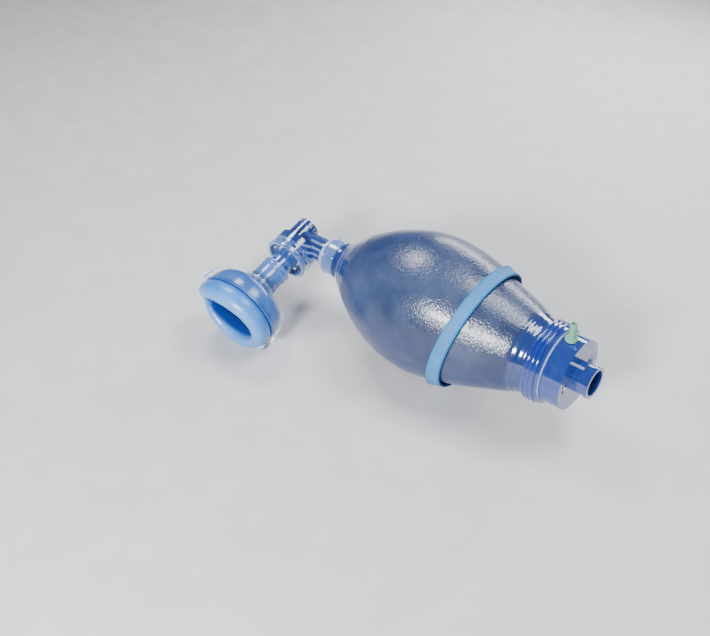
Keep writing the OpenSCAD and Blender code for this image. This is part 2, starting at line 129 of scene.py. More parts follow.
bpy.context.scene.camera = camera
print("lens", round(camera_data.lens, 1), "mm, camera at", [round(v, 3) for v in place])

# %% [markdown]
# ## Shop tools
# Three ways of making a piece cover nearly everything here. A turned piece is a profile spun about Z. A
# wrapped piece is a flat grid whose points are moved on to a curved surface, good for the bag, the strap,
# the mask and the spring. A rounded copy takes a CAD part and breaks its sharp edges, which is what makes
# moulded plastic catch the light. The hooks' arms need a fourth way, shown when they are made.


# %% Finish a mesh and hand it over
def finish_piece(name, bm, body, stands_for=(), sharp=35):
    """Turns a bmesh in the row frame into a smooth-shaded object that rides on a body."""
    mesh = bpy.data.meshes.new(name)
    bm.to_mesh(mesh)
    bm.free()
    piece = bpy.data.objects.new(name, mesh)
    bpy.context.scene.collection.objects.link(piece)
    mesh.shade_smooth()
    mesh.set_sharp_from_angle(angle=math.radians(sharp))
    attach(piece, body)
    if stands_for:
        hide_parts(*stands_for)
    print(name, len(mesh.polygons), "faces on", body)
    return piece


def close_seams(bm, distance=1e-6):
    bmesh.ops.remove_doubles(bm, verts=bm.verts[:], dist=distance)
    bmesh.ops.recalc_face_normals(bm, faces=bm.faces[:])


# %% Turned pieces
def turned(profile, steps=128, closed=True):
    """Spins a profile of (radius, height) points in millimetres about Z."""
    bm = bmesh.new()
    points = [bm.verts.new((r, 0, z)) for r, z in profile]
    pairs = list(zip(points, points[1:] + points[:1] if closed else points[1:]))
    edges = [bm.edges.new(pair) for pair in pairs]
    bmesh.ops.spin(bm, geom=points + edges, cent=(0, 0, 0), axis=(0, 0, 1), angle=2 * math.pi,
                   steps=steps, use_merge=True, use_duplicate=False)
    close_seams(bm, 1e-4)
    return bm


def rounded(profile, radius=0.4, steps=3, closed=True):
    """Replaces each corner of a profile by a short curve."""
    out, count = [], len(profile)
    for i, corner in enumerate(profile):
        if not closed and i in (0, count - 1):
            out.append(corner)
            continue
        here = Vector(corner)
        before, after = Vector(profile[i - 1]) - here, Vector(profile[(i + 1) % count]) - here
        reach = min(radius, before.length * 0.45, after.length * 0.45)
        start, end = here + before.normalized() * reach, here + after.normalized() * reach
        for k in range(steps + 1):
            t = k / steps
            out.append(tuple((1 - t) ** 2 * start + 2 * t * (1 - t) * here + t * t * end))
    return out


# %% Wrapped pieces
def wrapped(around, along, surface):
    """A grid of around x along cells, each point moved to surface(u, v) with u and v from 0 to 1.

    Where two edges of the grid meet on the surface, they are joined.
    """
    bm = bmesh.new()
    bmesh.ops.create_grid(bm, x_segments=around, y_segments=along, size=0.5)
    uv = bm.loops.layers.uv.new("surface")
    for face in bm.faces:
        for loop in face.loops:
            loop[uv].uv = (loop.vert.co.x + 0.5, loop.vert.co.y + 0.5)
    for v in bm.verts:
        v.co = surface(v.co.x + 0.5, v.co.y + 0.5)
    bmesh.ops.remove_doubles(bm, verts=bm.verts[:], dist=1e-4)
    return bm


# %% Rounded copies of CAD parts
def rounded_copy(node, width=0.25, segments=2, sharp=35):
    """Stands for a CAD node with a merged copy whose sharp edges are bevelled."""
    bm = bmesh.new()
    bm.from_mesh(frame["nodes"][node].data)
    bmesh.ops.remove_doubles(bm, verts=bm.verts[:], dist=1e-6)
    bmesh.ops.dissolve_limit(bm, angle_limit=math.radians(0.4), verts=bm.verts[:], edges=bm.edges[:],
                             use_dissolve_boundaries=False)
    body = frame["nodes"][node]["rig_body"]
    piece = finish_piece(node + "_rounded", bm, body, (node,), sharp)
    bevel = piece.modifiers.new("broken edges", "BEVEL")
    bevel.width, bevel.segments = width * MM, segments
    bevel.limit_method, bevel.angle_limit = "ANGLE", math.radians(sharp)
    bevel.use_clamp_overlap = True
    bevel.harden_normals = False
    return piece


# %% [markdown]
# ## Materials
# Every finish is built from the same few shader nodes. Node sums are easier to read as arithmetic, so a
# small class wraps a socket and lets Python's own signs add the Math nodes.


# %% Arithmetic on sockets
class Value:
    """A number that varies over a surface."""

    def __init__(self, paint, socket):
        self.paint, self.socket = paint, socket

    def _math(self, kind, a, b):
        return self.paint.node("ShaderNodeMath", {"operation": kind}, {0: a, 1: b})

    def __add__(self, other):
        return self._math("ADD", self, other)

    def __sub__(self, other):
        return self._math("SUBTRACT", self, other)

    def __rsub__(self, other):
        return self._math("SUBTRACT", other, self)

    def __mul__(self, other):
        return self._math("MULTIPLY", self, other)

    __radd__, __rmul__ = __add__, __mul__

    def clipped(self):
        return self.paint.node("ShaderNodeClamp", {}, {"Value": self})

    def sine(self):
        return self._math("SINE", self, 0)

    def power(self, exponent):
        return self._math("POWER", self, exponent)

    def ramp(self, low, high):
        """0 below low, 1 above high, smooth between."""
        return self.paint.node("ShaderNodeMapRange", {"interpolation_type": "SMOOTHSTEP"},
                               {"Value": self, "From Min": low, "From Max": high})


class Paint:
    """One material: its nodes, and the shader they feed."""

    def __init__(self, name, colour, **constants):
        self.material = bpy.data.materials.new(name)
        self.material.use_nodes = True
        self.tree = self.material.node_tree
        self.shader = self.tree.nodes["Principled BSDF"]
        self.shader.inputs["Base Color"].default_value = (*colour, 1)
        self.material.diffuse_color = (*colour, 1)
        for socket, value in constants.items():
            self.shader.inputs[socket.replace("_", " ")].default_value = value

    def node(self, kind, settings, sockets, out=0):
        made = self.tree.nodes.new(kind)
        for key, value in settings.items():
            setattr(made, key, value)
        for key, value in sockets.items():
            if isinstance(value, Value):
                self.tree.links.new(value.socket, made.inputs[key])
            else:
                made.inputs[key].default_value = value
        return Value(self, made.outputs[out])

    def place(self):
        """The point of the surface, in metres in the object's own frame."""
        return self.node("ShaderNodeTexCoord", {}, {}, "Object")

    def along(self, direction, start=(0, 0, 0)):
        """How far, in millimetres, the point lies along a direction from a starting point."""
        moved = self.node("ShaderNodeVectorMath", {"operation": "SUBTRACT"},
                          {0: self.place(), 1: tuple(start)})
        return self.node("ShaderNodeVectorMath", {"operation": "DOT_PRODUCT"},
                         {0: moved, 1: tuple(direction)}, "Value") * 1000

    def grain(self, size_mm, detail=3, rough=0.55):
        """Soft noise whose lumps are about size_mm across."""
        return self.node("ShaderNodeTexNoise", {"noise_dimensions": "3D"},
                         {"Vector": self.place(), "Scale": 1000 / size_mm, "Detail": detail,
                          "Roughness": rough})

    def facing(self, blend=0.5):
        return self.node("ShaderNodeLayerWeight", {}, {"Blend": blend}, "Facing")

    def surface_uv(self):
        return self.node("ShaderNodeUVMap", {"uv_map": "surface"}, {})

    def attribute(self, name):
        return self.node("ShaderNodeAttribute", {"attribute_name": name}, {}, "Fac")

    def mix(self, amount, first, second):
        """A colour between two colours."""
        colour = lambda c: c if isinstance(c, Value) else (*c, 1)
        return self.node("ShaderNodeMix", {"data_type": "RGBA"},
                         {0: amount, 6: colour(first), 7: colour(second)}, 2)

    def bump(self, height, depth_mm, strength=1.0):
        self.feed("Normal", self.node("ShaderNodeBump", {}, {"Height": height, "Strength": strength,
                                                             "Distance": depth_mm * MM}))

    def feed(self, socket, value):
        self.tree.links.new(value.socket, self.shader.inputs[socket])

    def on(self, *pieces):
        for piece in pieces:
            piece.data.materials.clear()
            piece.data.materials.append(self.material)

# %% [markdown]
# ## The bag
# A thin blow-moulded bulb of soft translucent PVC. Lathe work would leave it perfect, and a real one is
# not: it settles on the bench, its belly has shallow dents where a hand has squeezed it, and the moulding
# steps down in rings at both ends. So a fine grid is wrapped on the turned shape and pushed by soft noise.

# %% Bag outline
BAG_R, NECK_R, REAR_R = 65.5, 16, 34
NECK_END, WIDEST, REAR_START = 17, 122, 234
BAG_END, BAG_WALL = REAR_START + 13, 2.2
SETTLE = axis_z / MM


def bag_radius(x):
    if x <= NECK_END:
        return NECK_R
    if x <= WIDEST:
        u = (x - NECK_END) / (WIDEST - NECK_END)
        return NECK_R + (BAG_R - NECK_R) * math.sin(math.pi / 2 * u ** 0.87)
    if x <= REAR_START:
        u = (x - WIDEST) / (REAR_START - WIDEST)
        return REAR_R + (BAG_R - REAR_R) * math.cos(math.pi / 2 * u ** 0.84)
    return REAR_R


def bump_at(x, centre, width):
    return math.exp(-((x - centre) / width) ** 2)


def bag_point(x, turn, out=0.0):
    """A point of the bag's skin; turn 0 is the top and a quarter turn is the mask's side."""
    soft = min(1, max(0, (x - 26) / 30)) * min(1, max(0, (228 - x) / 30))
    side = Vector((math.cos(turn), -math.sin(turn)))
    dent = noise.noise(Vector((x / 42, side.x * 1.5, side.y * 1.5 + 3.1)))
    fine = noise.noise(Vector((x / 15, side.x * 4 + 7, side.y * 4)))
    radius = bag_radius(x) - soft * (0.55 + 0.95 * dent + 0.16 * fine)
    radius -= 0.5 * bump_at(x, 30, 1.6) - 0.35 * bump_at(x, 26, 2.5)      # the neck's moulded step
    radius -= 0.5 * bump_at(x, 223, 1.5) + 0.4 * bump_at(x, 229, 1.2)     # two rings near the tail
    radius = min(radius, bag_radius(x)) + out
    height, across = radius * side.x, radius * side.y
    if height < -SETTLE + 0.9 and x > 60:                                 # it rests flat on the bench
        height = -SETTLE + 0.05 + 0.85 * math.exp((height + SETTLE - 0.9) * 0.9)
        height = max(height, -SETTLE)
    return Vector((height, -across, x))


def bag_surface(u, v):
    x = BAG_END * v
    return bag_point(x, 2 * math.pi * u)


bm = wrapped(192, 240, bag_surface)
bmesh.ops.recalc_face_normals(bm, faces=bm.faces[:])
bmesh.ops.solidify(bm, geom=bm.faces[:], thickness=BAG_WALL)
bmesh.ops.transform(bm, matrix=on_bag, verts=bm.verts[:])
bag = finish_piece("bag_skin", bm, "bag_unit", ("bag",), sharp=60)

# %% [markdown]
# ## The hand strap
# A flat moulded band goes round the bag and leans towards its tail, so that the palm slides under it. It
# stands a little off the skin. Its section is a rounded rectangle with a thin bead along each edge, carried
# round the bag on the leaning plane.

# %% Strap
STRAP_X, STRAP_LEAN, STRAP_W, STRAP_T = 168.0, math.radians(13), 12.0, 1.6
STRAP_GAP = 2.5                             # from the bag's skin to the middle of the strap
half, thick = STRAP_W / 2, STRAP_T / 2
bead, web = half - 1.3, half - 1.5          # the beads along the edges, and the thinner web between them
section = rounded([(-half, -thick), (-bead, -thick), (-web, -thick + 0.25), (web, -thick + 0.25),
                   (bead, -thick), (half, -thick), (half, thick), (bead, thick),
                   (web, thick - 0.3), (-web, thick - 0.3), (-bead, thick), (-half, thick)], 0.3, 2)


def strap_surface(u, v):
    turn = 2 * math.pi * u
    across, out = section[round(v * len(section)) % len(section)]
    x = STRAP_X + across / math.cos(STRAP_LEAN)
    for _ in range(6):                        # the leaning plane: further along at the top
        x = STRAP_X + across + math.tan(STRAP_LEAN) * bag_radius(x) * math.cos(turn)
    radius = bag_radius(x - 1.2) + STRAP_GAP + out
    height = max(radius * math.cos(turn), -SETTLE + 0.1)
    return Vector((height, radius * math.sin(turn), x))


bm = wrapped(220, len(section), strap_surface)
bmesh.ops.recalc_face_normals(bm, faces=bm.faces[:])
bmesh.ops.transform(bm, matrix=on_bag, verts=bm.verts[:])
strap = finish_piece("hand_strap_band", bm, "bag_unit", ("hand_strap",), sharp=60)

# %% [markdown]
# ## The mask
# The shell is a stiff egg-shaped dome on a round connector, and the cushion is a ring of thin skin blown up
# with air. Both follow one egg-shaped centre line, narrow at the nose and wide at the chin. The cushion is
# low at the nose and chin and high at the cheeks, and it leans inwards towards the face.

# %% The egg-shaped centre line
EGG_L, EGG_W, EGG_K = 68.0, 57.0, 0.09
CUSHION_T, RIM_Z, DOME_Z, NECK_TOP = 19.0, 96.0, 71.0, 40.0
NOSE_NOTCH, NOSE_SPREAD = 4.5, 0.42         # how far the cushion dips at the nose, and how wide the dip is


def egg(turn):
    """A point of the centre line and the outward direction there."""
    point = Vector((EGG_L / 2 * math.cos(turn), EGG_W / 2 * math.sin(turn) * (1 + EGG_K * math.cos(turn))))
    dx = -EGG_L / 2 * math.sin(turn)
    dy = EGG_W / 2 * (math.cos(turn) + EGG_K * math.cos(2 * turn))
    return point, Vector((dy, -dx)).normalized()


def cushion_height(turn):
    return 18.0 - 1.6 * math.cos(2 * turn) + 1.2 * math.cos(turn)


def cushion_surface(u, v):
    turn, around = 2 * math.pi * u, 2 * math.pi * v
    point, out = egg(turn)
    up = 0.44 + 0.56 * math.sin(around)
    flare = math.cos(around)
    # a blown ring: full outside, a soft crease where it meets the shell, a thinner lip inside
    fold = 0.35 * noise.noise(Vector((3 * math.cos(turn), 3 * math.sin(turn), flare)))
    pucker = 0.16 * math.sin(26 * turn) * max(0, -flare) ** 2 * max(0, up)
    # the nose notch is lower and thinner inside
    nose = math.exp(-((turn - math.pi) / NOSE_SPREAD) ** 2)
    fullness = (CUSHION_T / 2 - 0.8) * (1 - (0.36 + 0.2 * nose) * (flare < 0))
    width = fullness * (abs(flare) ** 0.84) * (1 if flare > 0 else -1) - 0.5 * max(0, up) + pucker
    height = RIM_Z + 0.25 + max(0, (cushion_height(turn) - 0.4) * up) + fold * max(0, up) * 0.5
    height -= NOSE_NOTCH * nose * max(0, up)
    return Vector((point.x + out.x * width, point.y + out.y * width, height))


bm = wrapped(180, 60, cushion_surface)
close_seams(bm, 1e-4)
inside = bm.verts.layers.float.new("inside")
crest_highlight = bm.verts.layers.float.new("crest_highlight")
for v in bm.verts:
    turn = math.atan2(v.co.y / EGG_W, v.co.x / EGG_L)
    point, out = egg(turn)
    reach = (Vector((v.co.x, v.co.y)) - point).dot(out)
    above_rim = (v.co.z - RIM_Z) / cushion_height(turn)
    # the top of the ring, which the finish paints paler as a painted highlight
    v[crest_highlight] = min(1, max(0, (above_rim - 0.62) / 0.3))
    # the inner lip down in the mask's opening, which the finish darkens as painted shade
    v[inside] = min(1, max(0, (-reach - 1.5) / 3)) * min(1, max(0, (RIM_Z + 14 - v.co.z) / 3.5))
bmesh.ops.transform(bm, matrix=on_valve, verts=bm.verts[:])
cushion = finish_piece("air_cushion", bm, "mask", ("mask_cushion",), sharp=70)

# %% [markdown]
# ## The mask's shell
# Dome and connector are one closed profile carried round the egg: a circle at the connector, the full egg
# at the rim. Each point of the profile is (radius, height, share of the egg). Soft corners along it give
# the moulded look.

# %% Shell
NECK_OUT, PORT_R, WALL = 14.0, 11.0, 2.0
RIB_OUT = NECK_OUT + 0.6                    # the connector's end and two ribs stand out this far
CENTRE_R = (EGG_L + EGG_W) / 4
shell_out = [(NECK_OUT + 2, DOME_Z, 0), (21.4, DOME_Z + 1.2, 0.15), (28.3, DOME_Z + 3, 0.45),
             (33.2, DOME_Z + 6, 0.75), (36.2, DOME_Z + 10, 0.9), (37.8, DOME_Z + 15, 1),
             (38.4, DOME_Z + 20, 1), (38.7, RIM_Z - 1.9, 1), (39.7, RIM_Z - 1.6, 1), (39.7, RIM_Z, 1)]
shell_in = [(34.9, RIM_Z, 1), (34.9, RIM_Z - 1.6, 1), (38.7 - WALL, RIM_Z - 2, 1),
            (37.8 - WALL, DOME_Z + 15.3, 1), (36.2 - WALL, DOME_Z + 11, 0.9),
            (33.2 - WALL, DOME_Z + 7.4, 0.75), (27.6, DOME_Z + 4.8, 0.45), (21.1, DOME_Z + 3, 0.15),
            (NECK_OUT + 0.6, DOME_Z + 2, 0)]
neck_part = [(PORT_R + 0.4, DOME_Z - 0.2, 0), (PORT_R - 0.6, DOME_Z - 0.8, 0),
             (PORT_R - 0.6, NECK_TOP + 20, 0), (PORT_R + 0.06, NECK_TOP + 20, 0),
             (PORT_R + 0.06, NECK_TOP + 0.6, 0), (PORT_R + 0.5, NECK_TOP, 0),
             (NECK_OUT + 0.3, NECK_TOP, 0), (RIB_OUT, NECK_TOP + 0.4, 0), (RIB_OUT, NECK_TOP + 1.8, 0),
             (NECK_OUT, NECK_TOP + 2.5, 0), (NECK_OUT, NECK_TOP + 5.2, 0), (RIB_OUT, NECK_TOP + 5.6, 0),
             (RIB_OUT, NECK_TOP + 7.0, 0), (NECK_OUT, NECK_TOP + 7.4, 0), (NECK_OUT, NECK_TOP + 19, 0),
             (RIB_OUT, NECK_TOP + 19.4, 0), (RIB_OUT, NECK_TOP + 20.8, 0), (NECK_OUT, NECK_TOP + 21.2, 0),
             (NECK_OUT, DOME_Z - 3.2, 0), (NECK_OUT + 0.5, DOME_Z - 1.5, 0)]


CORNER, CORNER_SHARE = 2.6, 0.45            # a corner's curve reaches this far, or this share of the side


def smooth_loop(profile, steps=3):
    """Corners of (radius, height, egg share) rounded like the corners of a moulding."""
    out, count = [], len(profile)
    for i, corner in enumerate(profile):
        here = Vector(corner)
        before, after = Vector(profile[i - 1]) - here, Vector(profile[(i + 1) % count]) - here
        for k in range(steps + 1):
            t = k / steps
            start = here + before * min(CORNER_SHARE, CORNER / before.length)
            end = here + after * min(CORNER_SHARE, CORNER / after.length)
            out.append((1 - t) ** 2 * start + 2 * t * (1 - t) * here + t * t * end)
    return out


shell_loop = smooth_loop(shell_out + shell_in + neck_part)


def shell_surface(u, v):
    turn = 2 * math.pi * u
    radius, height, share = shell_loop[round(v * len(shell_loop)) % len(shell_loop)]
    point, out = egg(turn)
    width = radius - CENTRE_R
    round_point = Vector((radius * math.cos(turn), radius * math.sin(turn)))
    flat = round_point * (1 - share) + (point + out * width) * share
    return Vector((flat.x, flat.y, height))


bm = wrapped(160, len(shell_loop), shell_surface)
close_seams(bm, 1e-4)
bmesh.ops.transform(bm, matrix=on_valve, verts=bm.verts[:])
shell = finish_piece("mask_dome", bm, "mask", ("mask_shell",), sharp=50)

# %% [markdown]
# ## The hook ring
# A thin clear ring sits round the foot of the mask's neck, with an arm down each end of the dome. Each arm
# ends in a fork that a rubber head strap hooks over. An arm is a flat bar bent along the dome, so it is a
# short edge carried along a path and given its thickness afterwards.

# %% Hook ring
HOOK_TURN, ARM_W, ARM_T = math.radians(-30), 5.0, 1.3
PEG_LENGTH, PEG_R, PEG_SPLAY, PEG_LEAN = 7.4, 1.55, 36, 8               # two pegs make one fork
FORK_OUT, FORK_UP, FORK_SIDE = 43.8, DOME_Z + 21.8, 1.1
RING_LOW, RING_HIGH, RING_IN, RING_OUT = DOME_Z - 5.6, DOME_Z - 3.1, NECK_OUT + 0.45, NECK_OUT + 3.2
arm_path = [(NECK_OUT + 2.4, DOME_Z - 4.4), (NECK_OUT + 4.2, DOME_Z - 1.8), (23, DOME_Z - 0.1),
            (28.5, DOME_Z + 1.1), (32.8, DOME_Z + 2.3), (38.0, DOME_Z + 5.8), (41.3, DOME_Z + 10.6),
            (42.5, DOME_Z + 16), (42.9, DOME_Z + 20.6), (43.7, DOME_Z + 22.8)]


def swept_bar(path, width_at, thickness):
    """A flat bar along a path of (radius, height) points, width_at(t) wide."""
    bm = bmesh.new()
    path = rounded(path, 2.5, 3, closed=False)
    row = []
    for k, (r, z) in enumerate(path):
        half_width = width_at(k / (len(path) - 1)) / 2
        verts = [bm.verts.new((r, side * half_width, z)) for side in (-1, 1)]
        row.append(bm.edges.new(verts))
    bmesh.ops.bridge_loops(bm, edges=row[:2])
    for first, second in zip(row[1:], row[2:]):
        bmesh.ops.bridge_loops(bm, edges=[first, second])
    bmesh.ops.recalc_face_normals(bm, faces=bm.faces[:])
    bmesh.ops.solidify(bm, geom=bm.faces[:], thickness=-thickness)
    return bm


def bevel_edges(bm, width, segments=2, sharp=40):
    bmesh.ops.remove_doubles(bm, verts=bm.verts[:], dist=1e-4)
    edges = [e for e in bm.edges if len(e.link_faces) == 2 and e.calc_face_angle(0) > math.radians(sharp)]
    bmesh.ops.bevel(bm, geom=edges, offset=width, offset_type="OFFSET", affect="EDGES", segments=segments,
                    profile=0.5, clamp_overlap=True, material=-1)


def add_to(target, source, matrix=Matrix()):
    """Copies one bmesh into another."""
    bmesh.ops.transform(source, matrix=matrix, verts=source.verts[:])
    mesh = bpy.data.meshes.new("part")
    source.to_mesh(mesh)
    source.free()
    target.from_mesh(mesh)
    bpy.data.meshes.remove(mesh)


def rod(length, radius, tip=0.5):
    """A short round peg with a rounded tip, standing on the origin."""
    outline = rounded([(0, 0), (radius, 0), (radius, length), (0, length)], tip, 3)
    return turned(outline[4:], 24, closed=False)


def arm_width(t):
    """The arm narrows along its middle."""
    return ARM_W * (1.1 - 0.45 * math.sin(math.pi * min(1, t * 1.1)) ** 2)


hooks_bm = turned(rounded([(RING_IN, RING_LOW), (RING_OUT, RING_LOW),
                           (RING_OUT, RING_HIGH), (RING_IN, RING_HIGH)], 0.5))
for half_turn in (0, math.pi):
    arm = swept_bar(arm_path, arm_width, ARM_T)
    bevel_edges(arm, 0.35)
    for side in (-1, 1):
        splay = Matrix.Rotation(math.radians(side * -PEG_SPLAY), 4, "X")
        lean = Matrix.Rotation(math.radians(PEG_LEAN), 4, "Y")
        root = Matrix.Translation((FORK_OUT, side * FORK_SIDE, FORK_UP))
        add_to(arm, rod(PEG_LENGTH, PEG_R), root @ splay @ lean)
    add_to(hooks_bm, arm, Matrix.Rotation(half_turn, 4, "Z"))
bmesh.ops.transform(hooks_bm, matrix=on_valve @ Matrix.Rotation(HOOK_TURN, 4, "Z"), verts=hooks_bm.verts[:])
hooks = finish_piece("hook_ring_moulded", hooks_bm, "hooks", ("hook_ring",))

# %% [markdown]
# ## The moulded parts
# Every rigid part is exact in the CAD model already, down to the windows in the outlet ring. What it lacks
# is the small radius that a mould leaves on each edge, so each one gets a rounded copy.

# %% Rounded rigid parts
rigid = {node: rounded_copy(node, width) for node, width in (
    ("neck_insert", 0.5), ("neck_clamp_ring", 0.3), ("rear_collar", 0.3), ("intake_housing", 0.3),
    ("reservoir_housing", 0.4), ("oxygen_nipple", 0.35), ("valve_inlet_housing", 0.45),
    ("valve_outlet_housing", 0.3), ("patient_port", 0.4), ("relief_cap", 0.25),
    ("inflation_valve", 0.25), ("inflation_plug", 0.4), ("relief_poppet", 0.2))}

# %% [markdown]
# ## The relief spring
# The coil under the relief cap is wound anew as its own piece, with its upper end on the poppet. The poppet
# lifts by two millimetres; the coil is built at its rest length and does not close up with it.

# %% Relief spring
ELBOW_X, COIL_R, WIRE_R, COIL_TURNS = -8.0, 4.4, 0.35, 3
COIL_AT_POPPET, COIL_AT_CAP, POPPET_LIFT = -13.4, -16.9, 2.0


def coil_surface(u, v):
    turn, around = 2 * math.pi * COIL_TURNS * v, 2 * math.pi * u
    rise = v - 0.6 * math.sin(2 * math.pi * v) / (2 * math.pi)        # the end turns lie closer together
    height = COIL_AT_POPPET - WIRE_R + (COIL_AT_CAP - COIL_AT_POPPET + 2 * WIRE_R) * rise
    radius = COIL_R + WIRE_R * math.cos(around)
    height += WIRE_R * math.sin(around)
    return Vector((ELBOW_X + radius * math.cos(turn), radius * math.sin(turn), height))


bm = wrapped(10, 150, coil_surface)
bmesh.ops.holes_fill(bm, edges=[e for e in bm.edges if e.is_boundary], sides=0)
bmesh.ops.recalc_face_normals(bm, faces=bm.faces[:])
bmesh.ops.transform(bm, matrix=on_valve, verts=bm.verts[:])
spring = finish_piece("relief_spring_coil", bm, "relief", ("relief_spring",), sharp=60)
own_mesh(spring)

# %% [markdown]
# ## Finishes
# Soft PVC: cloudy where the mould was blasted and clear where it was polished, deeper blue towards its
# edges, partly because one looks through more of it there and partly as painted shade for dark
# surroundings. The frost is fine grain in the roughness and the bump, and the clear ends let the inside
# show.

# %% Frosted PVC of the bag
pvc = Paint("frosted_pvc", (0.10, 0.13, 0.24), Coat_Roughness=0.14, IOR=1.5, Specular_IOR_Level=0.65)
x_mm = pvc.along((1, 0, 0), (neck_x, 0, 0))
edge_wave = (pvc.grain(30, 1) - 0.5) * 14
frost = (x_mm + edge_wave).ramp(40, 47) * (1 - (x_mm + edge_wave * 0.4).ramp(218, 228))
cloud = pvc.grain(46, 3).ramp(0.32, 0.72)
speck = pvc.grain(1.3, 2, 0.7)
edge = pvc.facing(0.42).power(1.5)
belly = pvc.mix(cloud, (0.014, 0.027, 0.078), (0.050, 0.073, 0.148))
clear = pvc.mix(pvc.grain(18, 2), (0.006, 0.018, 0.11), (0.022, 0.052, 0.21))
body_colour = pvc.mix(frost, clear, belly)
# painted shade: the edges are mixed towards deep blue, partly for the longer path through the skin, partly
# for dark surroundings
pvc.feed("Base Color", pvc.mix(edge * 0.8, body_colour, (0.015, 0.035, 0.18)))
pvc.feed("Roughness", frost * (0.17 + 0.14 * speck) + (1 - frost) * 0.06)
pvc.feed("Coat Weight", (1 - frost) * 0.85 + 0.12)
pvc.feed("Alpha", (frost * 0.07 + 0.88 + edge * 0.2).clipped())
pvc.bump(pvc.grain(2.2, 2) * frost + speck * frost * 0.4 + pvc.grain(7, 2) * 0.6, 0.5, 0.8)
pvc.on(bag)

# %% Strap
band = Paint("strap_vinyl", (0.03, 0.30, 0.66), Specular_IOR_Level=0.15)
u_v = band.node("ShaderNodeSeparateXYZ", {}, {"Vector": band.surface_uv()}, "Y")
weave = band.node("ShaderNodeTexWave", {"wave_type": "BANDS", "bands_direction": "DIAGONAL"},
                  {"Vector": band.place(), "Scale": 420.0, "Distortion": 1.5, "Detail": 1.0})
wear = band.grain(9, 3).ramp(0.42, 0.75)
tone = band.mix(wear * 0.6, (0.001, 0.12, 0.37), (0.003, 0.18, 0.48))
edge_line = 1 - ((u_v - 0.75) * 5.2).power(2).clipped().ramp(0.35, 0.9)
band.feed("Base Color", band.mix(edge_line * 0.12 + band.facing(0.4) * 0.04, tone, (0.45, 0.74, 0.95)))
band.feed("Roughness", 0.5 + 0.2 * wear)
band.bump(weave + band.grain(0.8, 2), 0.08, 0.6)
band.on(strap)

# %% [markdown]
# Clear blue polycarbonate looks darkest along its edges and where walls cross, and nearly clear face-on.
# One recipe serves every rigid housing; only the tint, the clarity and the fine scratches change.


# %% Clear mouldings
def clear_plastic(name, face, rim, clarity, rough=0.07, scratch=0.5):
    paint = Paint(name, face, Coat_Roughness=0.04, IOR=1.58, Specular_IOR_Level=0.7)
    look = paint.facing(0.35).power(1.3)
    haze = paint.grain(7, 3).ramp(0.35, 0.8)
    paint.feed("Base Color", paint.mix((look * 0.9 + haze * 0.12).clipped(), face, rim))
    cells = paint.node("ShaderNodeTexVoronoi", {"feature": "DISTANCE_TO_EDGE"},
                       {"Vector": paint.place(), "Scale": 380.0, "Randomness": 1.0}, "Distance")
    scuff = cells.ramp(0, 0.06)
    paint.feed("Roughness", rough + haze * 0.10 + (1 - scuff) * 0.10 * scratch)
    paint.feed("Coat Weight", 0.9 - haze * 0.3)
    paint.feed("Alpha", ((1 - clarity) + look * 0.55 + haze * 0.08).clipped())
    paint.bump(paint.grain(11, 2) + haze * 0.2, 0.12, 0.25)
    return paint


# the third colour is the pale blue of the tube's painted rib highlights
NAVY, ROYAL, RIB_HIGHLIGHT_BLUE = (0.010, 0.028, 0.15), (0.04, 0.10, 0.38), (0.16, 0.25, 0.52)
royal = clear_plastic("royal_blue_clear", NAVY, ROYAL, 0.24)
royal.on(rigid["relief_cap"])

# painted highlights: pale lines along the tube between the elbow and the bag, as if fine ribs caught the
# light through the blue
tube = clear_plastic("elbow_and_tube_clear", NAVY, ROYAL, 0.24)
tube_share = tube.along((1, 0, 0), (valve_x, 0, 0)).ramp(13, 16)
up_mm, across_mm = tube.along((0, 0, 1), (0, 0, axis_z)), tube.along((0, 1, 0), (0, axis_y, 0))
rib_highlight = (up_mm * 0.95 + across_mm * 0.55).sine().ramp(0.1, 0.8)
plain = tube.mix(tube.facing(0.35).power(1.3), NAVY, ROYAL)
tube.feed("Base Color", tube.mix(rib_highlight * tube_share, plain, RIB_HIGHLIGHT_BLUE))
tube.on(rigid["valve_inlet_housing"])

flange = clear_plastic("flange_blue_clear", (0.02, 0.07, 0.30), (0.34, 0.54, 0.90), 0.24)
flange.on(rigid["valve_outlet_housing"])
port_blue = clear_plastic("port_blue_clear", (0.03, 0.09, 0.38), (0.12, 0.28, 0.72), 0.24)
port_blue.on(rigid["patient_port"])
collar = clear_plastic("deep_blue_collar", (0.006, 0.02, 0.19), (0.03, 0.09, 0.42), 0.08)
collar.on(rigid["rear_collar"])
collar_front = clear_plastic("front_collar_blue", (0.07, 0.14, 0.38), (0.40, 0.55, 0.86), 0.34)
collar_front.on(rigid["neck_clamp_ring"])
housing = clear_plastic("housing_blue_clear", (0.008, 0.028, 0.18), (0.03, 0.09, 0.38), 0.10)
housing.on(rigid["intake_housing"], rigid["reservoir_housing"])
water = clear_plastic("clear_tube", (0.40, 0.54, 0.84), (0.74, 0.85, 0.98), 0.40)
water.on(rigid["neck_insert"])
frost_clear = clear_plastic("clear_hook", (0.72, 0.80, 0.92), (0.92, 0.96, 1.0), 0.3)
frost_clear.on(rigid["inflation_valve"])

# the hooks' arms are nearly invisible, and their forked ends are cloudier
fork = clear_plastic("clear_fork", (0.55, 0.70, 0.93), (0.86, 0.93, 1.0), 0.3)
fork_share = fork.along(face_way, (valve_x, axis_y, axis_z)).ramp(DOME_Z + 12, DOME_Z + 20)
fork.feed("Alpha", (0.30 + fork_share * 0.65 + fork.facing(0.35) * 0.3).clipped())
fork.on(hooks)

